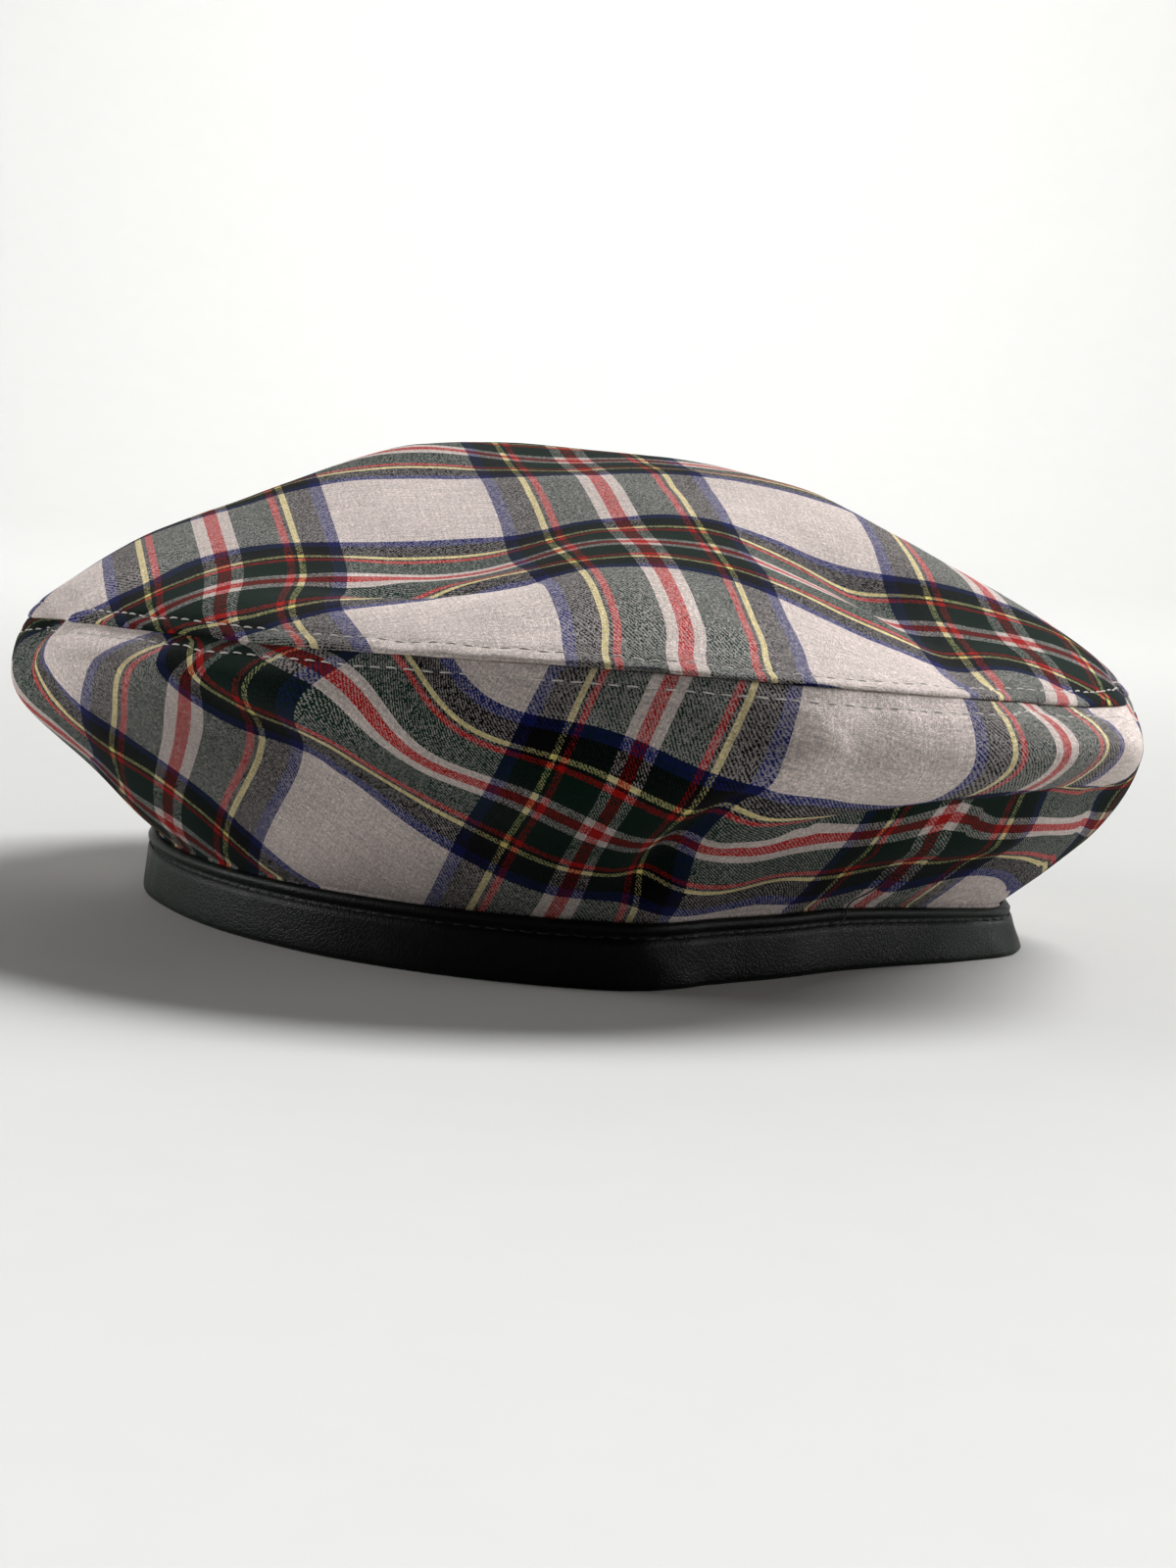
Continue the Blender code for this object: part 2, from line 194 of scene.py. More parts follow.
BEND_RADIUS = 1.5           # of the band's two lower corners
INNER_EDGE_RADIUS = 0.6     # of the inner leaf's upper edge
LIP_CENTRE = -0.75          # of the lip's roll, outwards from the band's outer face
LIP_TURN = 0.3              # how far below the top the lip's turned edge ends, in the slot
GROOVE = [(-0.42, 0.3), (-0.12, 1.0)]         # groove under the lip: outwards, and down from the lip
LEAF_BULGE = 0.15           # how far the outer leaf stands out below the groove
CORNER_BULGE = 0.1          # how far it does at its lower corner
INNER_SLOPE = 2.0           # height over which the inner leaf's upper edge slopes into the slot
OUTER_LEVELS = (10.0, 8.6, 7.2, 5.8, 4.4, 3.0)
INNER_LEVELS = (3.5, 6.0, 8.5, 11.0)
BAND_DENTS = [
    # azimuth, reach round the band, size of the dents, depth
    (0,  400.0, 22.0, 0.35),    # the strip is a little wavy all round
    (12,   8.0,  6.0, 0.55),    # creased at the front kink
    (80,   9.0,  6.0, 0.45),    # and at the right one
]

# ---- Pattern of the cloth ------------------------------------------------------------------
SETT = [
    # colour, width from the middle of the bundle outwards
    ("red", 1.4),
    ("white", 2.7),
    ("green", 8.95),
    ("red", 1.7),
    ("black", 0.85),
    ("yellow", 1.2),
    ("black", 5.7),
    ("blue", 2.6),
]
HALF_GROUND = 17.9          # half of the pale ground between two bundles
TOP_LEAN = 10.85            # turn of the pattern on the flat top panel
TOP_ORIGIN = (7.7, -52.8)   # where two bundles cross on it
UNDER_CONE = 0.47           # share of a full turn that the under panel's flat cut spans
UNDER_SLANT = 278.5         # radius of its outer edge
UNDER_LEAN = -20.1
UNDER_ORIGIN = (5.3, 36.6)
LOOSE_THREAD = [
    # azimuth, reach (past 1 it lies on the band), distance off the surface
    (47, 0.80, 0.3),
    (48, 0.86, 0.5),
    (48, 0.92, 0.9),
    (46, 0.98, 0.8),
    (45, 1.02, 0.3),
    (43, 1.20, 0.2),
]
THREAD_ON_BAND = (1.0, 2.0, 6.0)     # off the band's section, its start below the top, fall over one reach
PULLS = {
    # azimuth, reach, width, along one thread, along the other: the cloth is eased in unevenly
    "top": [
        (341, 0.64, 15, 0, -8),
        (12, 0.60, 24, 0, -5),
        (335, 0.48, 22, 2, 3),
        (328, 0.90, 24, 6, 0),
        (60, 0.94, 18, 0, 7),
        (41, 0.81, 22, 5, 11),
        (290, 0.77, 18, 0, -4),
        (303, 0.93, 20, 0, 12),
        (324, 0.96, 16, 0, 8),
        (37, 0.94, 14, 2, 8),
        (336, 0.82, 22, 0, 8),
        (356, 0.99, 18, 0, 10),
        (12, 0.99, 20, 0, 13.5),
        (29, 0.99, 16, 0, 9),
        (1, 0.99, 12, 2.5, 0),
        (10, 0.98, 12, 3, 0),
        (20, 0.97, 13, 2.8, 0),
    ],
    "under": [
        (323, 0.05, 16, 4, 2),
        (331, 0.06, 12, 5, 0),
        (320, 0.17, 13, -2, 0),
        (308, 0.22, 20, -4.5, -11),
        (293, 0.33, 18, -3, -4),
        (271, 0.10, 24, 0, 12),
        (323, 0.42, 18, -3, 4),
        (352, 0.08, 18, 0, 9),
        (338, 0.16, 16, 0, -5),
        (353, 0.42, 14, 0, -4),
        (10, 0.25, 22, 5, 3),
        (9, 0.62, 16, 4, 6),
        (6, 0.84, 14, 1, -6),
        (32, 0.36, 22, 0, 7),
        (44, 0.10, 26, -6.5, 0),
        (52, 0.30, 20, 0, 8),
        (50, 0.27, 14, 4, 0),
        (72, 0.25, 20, -5, 9),
        (74, 0.60, 16, 0, -9),
        (41, 0.48, 20, 9, -9),
        (62, 0.74, 22, -3, -12),
        (72, 0.93, 12, 0, -7),
        (20, 0.73, 10, 0, 3.5),
        (26, 0.86, 8, 0, -2.5),
        (56, 0.95, 14, -7, 4),
        (307, 0.80, 18, 0, -8),
    ],
}


def smooth_step(value):
    """Ease from 0 to 1 as the value goes from 0 to 1."""
    value = np.clip(value, 0.0, 1.0)
    return value * value * (3.0 - 2.0 * value)


def hermite(start, end, start_slope, end_slope, u):
    """Cubic from start to end with these end slopes."""
    return ((2 * u**3 - 3 * u**2 + 1) * start + (u**3 - 2 * u**2 + u) * start_slope
            + (3 * u**2 - 2 * u**3) * end + (u**3 - u**2) * end_slope)


def around(rows, column, azimuth):
    """Value of a table's column at these azimuths, on a closed smooth curve through its rows."""
    at = np.array([row[0] for row in rows], float)
    value = np.array([row[column] for row in rows], float)
    at = np.concatenate([[at[-1] - 360.0], at, [at[0] + 360.0, at[1] + 360.0]])
    value = np.concatenate([[value[-1]], value, [value[0], value[1]]])
    slope = np.gradient(value, at)
    place = np.mod(azimuth, 360.0)
    i = np.clip(np.searchsorted(at, place, side="right") - 1, 0, len(at) - 2)
    step = at[i + 1] - at[i]
    return hermite(value[i], value[i + 1], slope[i] * step, slope[i + 1] * step, (place - at[i]) / step)


def profile(knots, reach, first=0):
    """Radius and height at each reach, on a smooth curve through the knots."""
    knots = np.array(knots)
    chord = np.sqrt(((knots[1:] - knots[:-1]) ** 2).sum(axis=1))
    at = np.concatenate([np.zeros((1, knots.shape[2])), np.cumsum(chord, axis=0)])
    rate = (knots[1:] - knots[:-1]) / chord[:, None]
    slope = np.empty_like(knots)
    before, after = chord[:-1, None], chord[1:, None]
    slope[1:-1] = (rate[:-1] * after + rate[1:] * before) / (before + after)
    slope[0] = 2 * rate[0] - slope[1]
    slope[-1] = 2 * rate[-1] - slope[-2]
    place = at[first] + reach * (at[-1] - at[first])
    i = np.clip((place >= at).sum(axis=0) - 1, 0, len(knots) - 2)
    n = np.arange(knots.shape[2])
    step = chord[i, n]
    u = (place - at[i, n]) / step
    return [hermite(knots[i, c, n], knots[i + 1, c, n], slope[i, c, n] * step,
                    slope[i + 1, c, n] * step, u) for c in (0, 1)]


def polar(azimuth, radius, height):
    """Points from azimuth, radius and height about the head opening."""
    angle = np.radians(azimuth)
    return np.stack([radius * np.sin(angle), -radius * np.cos(angle), height], axis=-1)


def spoke(azimuth):
    """Level unit directions straight out from the head opening."""
    return polar(azimuth, np.ones_like(azimuth), np.zeros_like(azimuth))


def top_point(azimuth, reach):
    """Smooth top panel, before it is folded."""
    flat = np.zeros_like(azimuth)
    behind = (flat - TOP_DISTANCES[0], around(TOP_SECTIONS, 3, azimuth + 180.0))
    middle = (flat, flat + TOP_MIDDLE_HEIGHT)
    rings = [(flat + distance, around(TOP_SECTIONS, 3 + i, azimuth))
             for i, distance in enumerate(TOP_DISTANCES)]
    seam = (around(TOP_SECTIONS, 1, azimuth), around(TOP_SECTIONS, 2, azimuth) + SEAM_STAND)
    return polar(azimuth, *profile([behind, middle, *rings, seam], reach, first=1))


def band_point(azimuth, inset, height):
    """Points of the upright band's section, set where the band leans and is pressed down."""
    share = height / BAND_HEIGHT
    radius = around(BAND_SECTIONS, 1, azimuth) + around(BAND_SECTIONS, 3, azimuth) * (1.0 - share)
    return polar(azimuth, radius - inset, around(BAND_SECTIONS, 2, azimuth) * share)


def neck_inset():
    """Outer face of the cloth in the band's slot, midway between the leaves, from the outer face."""
    slack = (BAND_DEPTH - 2 * LEAF_THICKNESS - CLOTH_ROOM) / 2
    return LEAF_THICKNESS + slack


def under_point(azimuth, reach):
    """Smooth under panel, before it is folded."""
    neck = around(BAND_SECTIONS, 1, azimuth) - neck_inset()
    mouth = around(BAND_SECTIONS, 2, azimuth)
    knots = [(around(TOP_SECTIONS, 1, azimuth), around(TOP_SECTIONS, 2, azimuth) - SEAM_STAND),
             (around(UNDER_SECTIONS, 1, azimuth), around(UNDER_SECTIONS, 2, azimuth)),
             (around(UNDER_SECTIONS, 3, azimuth), around(UNDER_SECTIONS, 4, azimuth)),
             (neck + COLLAR_FLARE, mouth + COLLAR_RISE),
             (neck, mouth + COLLAR_START)]
    return polar(azimuth, *profile(knots, reach))


PANELS = {"top": top_point, "under": under_point}


def outward(panel, azimuth, reach):
    """Unit directions out of a smooth panel."""
    turn, slide = 0.5, 0.004
    point = PANELS[panel]
    across = point(azimuth + turn, reach) - point(azimuth - turn, reach)
    along = point(azimuth, reach + slide) - point(azimuth, reach - slide)
    normal = np.cross(along, across)
    return normal / np.linalg.norm(normal, axis=-1, keepdims=True)


def fold_height(points):
    """How far all the folds together move these points."""
    total = np.zeros(len(points))
    share = np.linspace(0.0, 1.0, FOLD_SAMPLES)
    for panel, azimuth, reach, to_azimuth, to_reach, half_width, height in FOLDS:
        line = PANELS[panel](azimuth + share * (to_azimuth - azimuth), reach + share * (to_reach - reach))
        start, step = line[:-1], line[1:] - line[:-1]
        away = points[:, None] - start
        u = np.clip((away * step).sum(axis=2) / (step ** 2).sum(axis=1), 0.0, 1.0)
        distance = np.linalg.norm(away - u[..., None] * step, axis=2)
        nearest = distance.argmin(axis=1)
        pick = np.arange(len(points))
        along = (nearest + u[pick, nearest]) / len(start)
        fade = smooth_step((along + FOLD_TAPER / 2) / FOLD_TAPER)
        fade = fade * smooth_step((1.0 + FOLD_TAPER / 2 - along) / FOLD_TAPER)
        total += height * fade * np.exp(-(distance[pick, nearest] / half_width) ** 2)
    return total


def folded(panel, azimuth, reach):
    """Points of a panel with its folds pressed in."""
    points = PANELS[panel](azimuth, reach)
    edge = PANELS[panel](azimuth, np.full_like(azimuth, 1.0 if panel == "top" else 0.0))
    near_seam = 1.0 - smooth_step(np.linalg.norm(points - edge, axis=-1) / SEAM_BLEND)[:, None]
    way = (1.0 - near_seam) * outward(panel, azimuth, reach) + near_seam * spoke(azimuth)
    way /= np.linalg.norm(way, axis=-1, keepdims=True)
    keep = np.ones(len(points))
    if panel == "under":
        keep = smooth_step((1.0 - reach) / NECK_BLEND)
    return points + way * (fold_height(points) * keep)[:, None]


def seam_line(azimuth):
    """The seam between the panels, with its puckers."""
    line = polar(azimuth, around(TOP_SECTIONS, 1, azimuth), around(TOP_SECTIONS, 2, azimuth))
    return line + spoke(azimuth) * fold_height(line)[:, None]


# ---- Grids of points: rings down a panel, steps around it -----------------------------------
def steps_around():
    """Azimuths of the steps, from the back round to the back."""
    return -180.0 + np.arange(STEPS) * 360.0 / STEPS


def ring_distances(length):
    """Distances of the rings from the seam, close together near it."""
    found = [RING_SPACING[0][1]]
    for limit, spacing in RING_SPACING:
        while found[-1] + spacing < min(limit, length):
            found.append(found[-1] + spacing)
    return np.array(found)


def grid_normals(grid):
    """Unit directions out of a grid of points."""
    across = np.roll(grid, -1, axis=1) - np.roll(grid, 1, axis=1)
    along = np.gradient(grid, axis=0)
    normal = np.cross(along, across)
    return normal / np.maximum(np.linalg.norm(normal, axis=-1, keepdims=True), 1e-9)


def arc_lengths(grid):
    """Length of cloth from the first ring down to each ring."""
    pieces = np.linalg.norm(np.diff(grid, axis=0), axis=-1)
    return np.concatenate([np.zeros((1, grid.shape[1])), np.cumsum(pieces, axis=0)])


def bumps(grid, size, height, offset):
    """Even noise over a grid of points."""
    flat = grid.reshape(-1, 3) / size + offset
    return height * np.array([noise.noise(point) for point in flat]).reshape(grid.shape[:2])


def relief(panel, grid, distance):
    """How far each point stands out of the smooth panel: slackness, puckers and sunk stitching."""
    rise = np.zeros(grid.shape[:2])
    for size, height in UNEVEN[panel]:
        rise += bumps(grid, size, height, size)
    rise *= smooth_step(distance / SEAM_BLEND)
    pucker = bumps(grid, PUCKER_SIZE, PUCKER_HEIGHT, PUCKER_START[panel])
    from_row = distance - STITCH_ROWS[panel]
    rise += pucker * np.exp(-(from_row / PUCKER_SPREAD) ** 2)
    rise -= STITCH_SINK * np.exp(-(from_row / SINK_WIDTH) ** 2)
    rise += ROLL_HEIGHT[panel] * distance / ROLL_PLACE * np.exp(1.0 - distance / ROLL_PLACE)
    return rise


def add_object(name, data):
    """Put a mesh, curve, lamp or camera in the scene, at the origin."""
    made = bpy.data.objects.new(name, data)
    bpy.context.scene.collection.objects.link(made)
    return made


def in_metres(points):
    """Places in the frame, from millimetres about the head opening."""
    return (points + (*OPENING_CENTRE, 0.0)) * MM


def make_mesh(name, grid, cloth=None, middle=None, closed=False):
    """Mesh over a grid of points, with a fan to a middle point and a map of the cloth if they are given.

    cloth holds a place on the flat cloth for each point, with one more step to end on.
    """
    rings, steps = grid.shape[:2]
    points = grid.reshape(-1, 3)
    row, step = np.meshgrid(np.arange(rings if closed else rings - 1), np.arange(steps), indexing="ij")
    row, step = row.ravel(), step.ravel()
    below, after = (row + 1) % rings, step + 1
    corners = np.stack([row, below, below, row], axis=1), np.stack([step, step, after, after], axis=1)
    faces = (corners[0] * steps + corners[1] % steps).tolist()
    places = None if cloth is None else cloth[corners].reshape(-1, 2)
    if middle is not None:
        points = np.concatenate([points, [middle]])
        faces += [(len(points) - 1, i, (i + 1) % steps) for i in range(steps)]
        if cloth is not None:
            fan = np.stack([np.tile(top_cloth(0.0, 0.0), (steps, 1)), cloth[0, :-1], cloth[0, 1:]], axis=1)
            places = np.concatenate([places, fan.reshape(-1, 2)])
    mesh = bpy.data.meshes.new(name)
    mesh.from_pydata(in_metres(points).tolist(), [], faces)
    if places is not None:
        mesh.uv_layers.new(name="cloth").data.foreach_set("uv", places.astype(np.float32).ravel())
    mesh.shade_smooth()
    return add_object(name, mesh)


def plain_mesh(piece):
    """A new plain mesh of a piece's evaluated shape."""
    bpy.context.view_layer.update()
    shape = piece.evaluated_get(bpy.context.evaluated_depsgraph_get())
    return bpy.data.meshes.new_from_object(shape)


def plain(piece):
    """Turn a piece's evaluated shape into its plain mesh, with no modifier left."""
    made = plain_mesh(piece)
    piece.modifiers.clear()
    old = piece.data
    piece.data = made
    bpy.data.meshes.remove(old)
    made.name = piece.name
    return piece


def give_wall(piece, thickness):
    """Give an open sheet its wall, inwards."""
    wall = piece.modifiers.new("wall", "SOLIDIFY")
    wall.thickness = thickness
    wall.offset = -1.0
    wall.use_even_offset = False
    plain(piece)


def top_cloth(azimuth, length):
    """Places on the flat cloth of the top panel, from azimuth and distance from its middle."""
    lean, angle = math.radians(TOP_LEAN), np.radians(azimuth)
    x = length * np.sin(angle) - TOP_ORIGIN[0]
    y = -length * np.cos(angle) - TOP_ORIGIN[1]
    return np.stack([x * math.cos(lean) + y * math.sin(lean),
                     -x * math.sin(lean) + y * math.cos(lean)], axis=-1)


def under_cloth(azimuth, length):
    """Places on the flat cloth of the under panel, from azimuth and distance from the seam."""
    lean, angle = math.radians(UNDER_LEAN), np.radians(azimuth) * UNDER_CONE
    radius = UNDER_SLANT - length
    x = radius * np.sin(angle) - UNDER_ORIGIN[0]
    y = UNDER_SLANT - radius * np.cos(angle) - UNDER_ORIGIN[1]
    return np.stack([x * math.cos(lean) - y * math.sin(lean),
                     -x * math.sin(lean) - y * math.cos(lean)], axis=-1)


def with_last(values):
    """A grid with its first step repeated at the end."""
    return np.concatenate([values, values[:, :1]], axis=1)


def pulled(panel, points, cloth):
    """Places on the flat cloth, moved where the cloth was eased in or pulled askew."""
    points, cloth = with_last(points), cloth.copy()
    for azimuth, reach, width, along, across in PULLS[panel]:
        centre = PANELS[panel](np.array([float(azimuth)]), np.array([float(reach)]))[0]
        near = np.exp(-(np.linalg.norm(points - centre, axis=-1) / width) ** 2)
        cloth += near[..., None] * (along, across)
    return cloth


# ---- Materials -----------------------------------------------------------------------------
def linear(hex_code):
    """Linear colour of an sRGB hex value."""
    parts = [int(hex_code[i:i + 2], 16) / 255.0 for i in (1, 3, 5)]
    return [c / 12.92 if c <= 0.04045 else ((c + 0.055) / 1.055) ** 2.4 for c in parts] + [1.0]


def fill(tree, inputs, values):
    """Give inputs their values, or links from sockets or from the first live output of nodes."""
    for name, value in values.items():
        if isinstance(value, bpy.types.Node):
            value = next(socket for socket in value.outputs if socket.enabled)
        if isinstance(value, bpy.types.NodeSocket):
            tree.links.new(value, inputs[name])
        else:
            inputs[name].default_value = value


def node(tree, kind, values=None, **settings):
    """Add a node, a shader or math one if its kind is given by its short name, and fill its inputs."""
    made = tree.nodes.new(kind if "Node" in kind else "ShaderNode" + kind)
    for name, value in settings.items():
        setattr(made, name, value)
    fill(tree, made.inputs, values or {})
    return made


def new_material(name):
    """A material, a function that adds a node to it, and one that fills its shader's inputs."""
    material = bpy.data.materials.new(name)
    material.use_nodes = True
    tree = material.node_tree
    return material, partial(node, tree), partial(fill, tree, tree.nodes["Principled BSDF"].inputs)


# Inputs by number: a Map Range's 1 to 4 are from low, from high, to low and to high, and a Mix's 0 is
# its factor, 2 and 3 its numbers, and 6 and 7 its colours.
BLEND = {"data_type": "RGBA"}
TINT = {"data_type": "RGBA", "blend_type": "MULTIPLY"}
NOISE_SPAN = {1: 0.3, 2: 0.7}     # what nearly all of a noise's values lie between
SLUB_START = (5.0, 14.0)    # where in the noise warp and weft start, so that they differ
CLOTH_TONES = {
    # how much darker and lighter each unevenness of the cloth, and the painted shade between its threads,
    # make it
    "slub": {3: 0.80, 4: 1.14},
    # painted shade: darker in the hollows between the threads, lighter on their tops
    "painted_weave_shade": {3: 0.62, 4: 1.06},
    "fuzz": {3: 0.72, 4: 1.22},
    "nap": {3: 0.76, 4: 1.18},
    "cloud": {3: 0.94, 4: 1.04},
}
BRUSHED = 0.8               # how far, in threads, fibres brushed over a crossing can move the twill


def make_tartan(name, cloth):
    """Cotton blend woven as a 2/2 twill tartan.

    Warp and weft carry the same stripes. Each crossing shows the thread that is on top there, so a
    stripe over another colour reads as a fine slanting mix of both. Matt, with a little fuzz. The map
    is in millimetres, and the threads are as close as in real cloth of this kind, 0.23 mm.
    """
    material, add, shade = new_material(name)
    spacing = cloth.thread_spacing / MM
    half_repeat = HALF_GROUND + sum(width for _, width in SETT)
    place = add("UVMap", uv_map="cloth")
    sides = add("SeparateXYZ", {0: place}).outputs
    index, part, colour = [], [], []
    for side in (0, 1):
        count = add("Math", {0: sides[side], 1: spacing}, operation="DIVIDE")
        index.append(add("Math", {0: count}, operation="FLOOR"))
        part.append(add("Math", {0: count}, operation="FRACT"))
        middle = add("Math", {0: index[side], 1: spacing, 2: spacing / 2}, operation="MULTIPLY_ADD")
        folded_over = add("Math", {0: middle, 1: half_repeat}, operation="PINGPONG")
        share = add("Math", {0: folded_over, 1: half_repeat}, operation="DIVIDE")
        stripes = add("ValToRGB", {0: share})
        paint_stripes(stripes.color_ramp, cloth, half_repeat)
        # Uneven spinning: each thread is a little lighter or darker along its length
        along = add("Math", {0: sides[1 - side], 1: cloth.slub_length / MM}, operation="DIVIDE")
        thread = add("CombineXYZ", {0: index[side], 1: along, 2: SLUB_START[side]})
        slub = add("TexNoise", {"Vector": thread, "Scale": 0.83, "Detail": 1.0})
        tone = add("MapRange", {0: slub, 1: 0.25, 2: 0.75, **CLOTH_TONES["slub"]})
        colour.append(add("Mix", {0: 1.0, 6: stripes, 7: tone}, **TINT))
    # The twill: over two, under two, one step further in each row, with fibres of the next thread
    # brushed over a crossing here and there
    crossing = add("CombineXYZ", {0: index[0], 1: index[1]})
    speck = add("TexWhiteNoise", {"Vector": crossing}, noise_dimensions="2D")
    brushed = add("MapRange", {0: speck, 3: -BRUSHED, 4: BRUSHED})
    diagonal = add("Math", {0: index[0], 1: index[1]}, operation="ADD")
    moved = add("Math", {0: diagonal, 1: brushed}, operation="ADD")
    turn = add("Math", {0: moved, 1: 4.0, 2: 0.0}, operation="WRAP")
    warp_on_top = add("Math", {0: turn, 1: 1.5}, operation="LESS_THAN")
    shown = add("Mix", {0: warp_on_top, 6: colour[1], 7: colour[0]}, **BLEND)
    # Thin threads: the one beneath shows through and darkens a pale thread over a dark one
    both = add("Mix", {0: 1.0, 6: colour[0], 7: colour[1]}, **TINT)
    through = add("Mix", {0: cloth.show_through, 6: shown, 7: both}, **BLEND)
    # Rounded top of the thread that shows, with painted shade: darker in the hollows between the threads
    across = add("Mix", {0: warp_on_top, 2: part[1], 3: part[0]})
    swing = add("Math", {0: across, 1: math.pi}, operation="MULTIPLY")
    round_top = add("Math", {0: swing}, operation="SINE")
    painted_weave_shade = add("MapRange", {0: round_top, 2: 0.8, **CLOTH_TONES["painted_weave_shade"]})
    # Fuzz: each crossing is a little lighter or darker than the next
    fuzz = add("MapRange", {0: speck, **CLOTH_TONES["fuzz"]})
    # Nap: loose fibres lighten or darken a few threads together, over about 0.7 mm
    nap = add("TexNoise", {"Vector": place, "Scale": 1.4, "Detail": 2.0})
    tuft = add("MapRange", {0: nap, **NOISE_SPAN, **CLOTH_TONES["nap"]})
    napped = add("Math", {0: fuzz, 1: tuft}, operation="MULTIPLY")
    # Painted shade between the threads, with the fuzz and the nap
    weave_shade_and_fuzz = add("Math", {0: painted_weave_shade, 1: napped}, operation="MULTIPLY")
    shaded = add("Mix", {0: 1.0, 6: through, 7: weave_shade_and_fuzz}, **TINT)
    # Wear and handling: a very faint cloudy tone, about 26 mm across
    where = add("TexCoord").outputs["Object"]
    cloudy = add("TexNoise", {"Vector": where, "Scale": 38.0, "Detail": 3.0})
    cloud = add("MapRange", {0: cloudy, **NOISE_SPAN, **CLOTH_TONES["cloud"]})
    worn = add("Mix", {0: 1.0, 6: shaded, 7: cloud}, **TINT)
    bump = add("Bump", {"Strength": 0.55, "Distance": 0.00016, "Height": round_top})
    shade({"Base Color": worn, "Normal": bump, "Roughness": 0.88, "Specular IOR Level": 0.06,
           "Sheen Weight": 0.02, "Sheen Roughness": 0.5})
    return material


def paint_stripes(ramp, cloth, half_repeat):
    """Colours of half a repeat, from the middle of the bundle to the middle of the ground."""
    ramp.interpolation = "CONSTANT"
    at = 0.0
    for i, (colour, width) in enumerate([*SETT, ("cream", HALF_GROUND)]):
        stop = ramp.elements[0] if i == 0 else ramp.elements.new(at / half_repeat)
        stop.color = getattr(cloth, colour)
        at += width
    ramp.elements.remove(ramp.elements[-1])


def make_leather(name, band):
    """Black imitation leather: coated cloth pressed with a fine grain, with a soft gloss."""
    material, add, shade = new_material(name)
    where = add("TexCoord").outputs["Object"]
    # The grain's cells are pushed about every 1.1 mm, and its gloss and height vary over about 8 mm
    warp = add("TexNoise", {"Vector": where, "Scale": 900.0, "Detail": 2.0})
    bend = add("Mix", {0: 0.0006, 6: where, 7: warp.outputs["Color"]}, data_type="RGBA", blend_type="ADD")
    grain = add("TexVoronoi", {"Vector": bend, "Scale": 1.0 / band.grain_size}, feature="DISTANCE_TO_EDGE")
    crease = add("MapRange", {0: grain, 2: 0.18})
    mottle = add("TexNoise", {"Vector": where, "Scale": 130.0, "Detail": 4.0})
    height = add("Math", {0: crease, 1: mottle}, operation="ADD")
    bump = add("Bump", {"Strength": 0.35, "Distance": 0.00012, "Height": height})
    # Painted sheen: lighter grey-green towards both sides of the head, and black at the front and back
    sides = add("SeparateXYZ", {0: where})
    aside = add("Math", {0: sides.outputs[0]}, operation="ABSOLUTE")
    painted_sheen_at_sides = add("MapRange", {0: aside, 1: 0.045, 2: 0.100})
    tone = add("MapRange", {0: mottle, 1: 0.35, 2: 0.7, 3: 0.3})
    share = add("Math", {0: tone, 1: painted_sheen_at_sides}, operation="MULTIPLY")
    colour = add("Mix", {0: share, 6: band.colour, 7: band.painted_sheen_colour}, **BLEND)
    gloss = add("MapRange", {0: mottle, **NOISE_SPAN, 3: 0.36, 4: 0.50})
    shade({"Base Color": colour, "Roughness": gloss, "Normal": bump, "Specular IOR Level": 0.1})
    return material


def make_thread(name, colour, twist):
    """Spun polyester sewing thread: matt, with the twist of its plies across it."""
    material, add, shade = new_material(name)
    where = add("TexCoord").outputs["Object"]
    wave = add("TexWave", {"Vector": where, "Scale": 1.0 / twist, "Distortion": 2.0},
               bands_direction="DIAGONAL")
    plies = wave.outputs["Fac"]
    bump = add("Bump", {"Strength": 0.4, "Distance": 0.00005, "Height": plies})
    # Painted shade: the thread is darker in the grooves between its plies
    tone = add("MapRange", {0: plies, 3: 0.8, 4: 1.05})
    shaded = add("Mix", {0: 1.0, 6: colour, 7: tone}, **TINT)
    shade({"Base Color": shaded, "Normal": bump, "Roughness": 0.7})
    return material


def make_paper(name, colour):
    """Matt seamless background paper: bare, with a barely uneven tone about 17 mm across."""
    material, add, shade = new_material(name)
    tooth = add("TexNoise", {"Vector": add("TexCoord").outputs["Object"], "Scale": 60.0, "Detail": 4.0})
    tone = add("MapRange", {0: tooth, **NOISE_SPAN, 3: 0.985})
    shaded = add("Mix", {0: 1.0, 6: colour, 7: tone}, **TINT)
    shade({"Base Color": shaded, "Roughness": 0.9})
    return material


# ---- Settings ------------------------------------------------------------------------------
def colour_setting(name, hex_code, description):
    """A colour that a user can change."""
    return FloatVectorProperty(name=name, description=description, subtype="COLOR", size=4,
                               min=0.0, max=1.0, default=linear(hex_code))


def size_setting(name, default, description):
    """A length that a user can change."""
    return FloatProperty(name=name, description=description, unit="LENGTH", default=default,
                         min=0.00001, precision=5)


def power_setting(name, default, description):
    """A lamp's power that a user can change."""
    return FloatProperty(name=name, description=description, unit="POWER", default=default, min=0.0)


class ClothSettings(bpy.types.PropertyGroup):
    """Tartan cloth of both panels."""
    wall: size_setting("Thickness", 0.0008, "Thickness of the cloth")
    thread_spacing: size_setting("Thread spacing", 0.00023, "From one thread to the next")
    slub_length: size_setting("Slub length", 0.009, "Length of the thick and thin places in a thread")
    show_through: FloatProperty(name="Show-through", description="How much of the thread beneath shows",
                                subtype="FACTOR", default=0.66, min=0.0, max=1.0)
    cream: colour_setting("Cream", "#E8DFDB", "Ground of the tartan")
    white: colour_setting("White", "#DAD1CC", "White stripe beside the red one")
    red: colour_setting("Red", "#BE1F1C", "Red stripes")
    green: colour_setting("Green", "#0C3226", "Broad dark green stripe")
    black: colour_setting("Black", "#060609", "Broad black stripe")
    yellow: colour_setting("Yellow", "#EBE09C", "Narrow yellow stripe")
    blue: colour_setting("Blue", "#1F2A74", "Blue stripe at the edge of the bundle")


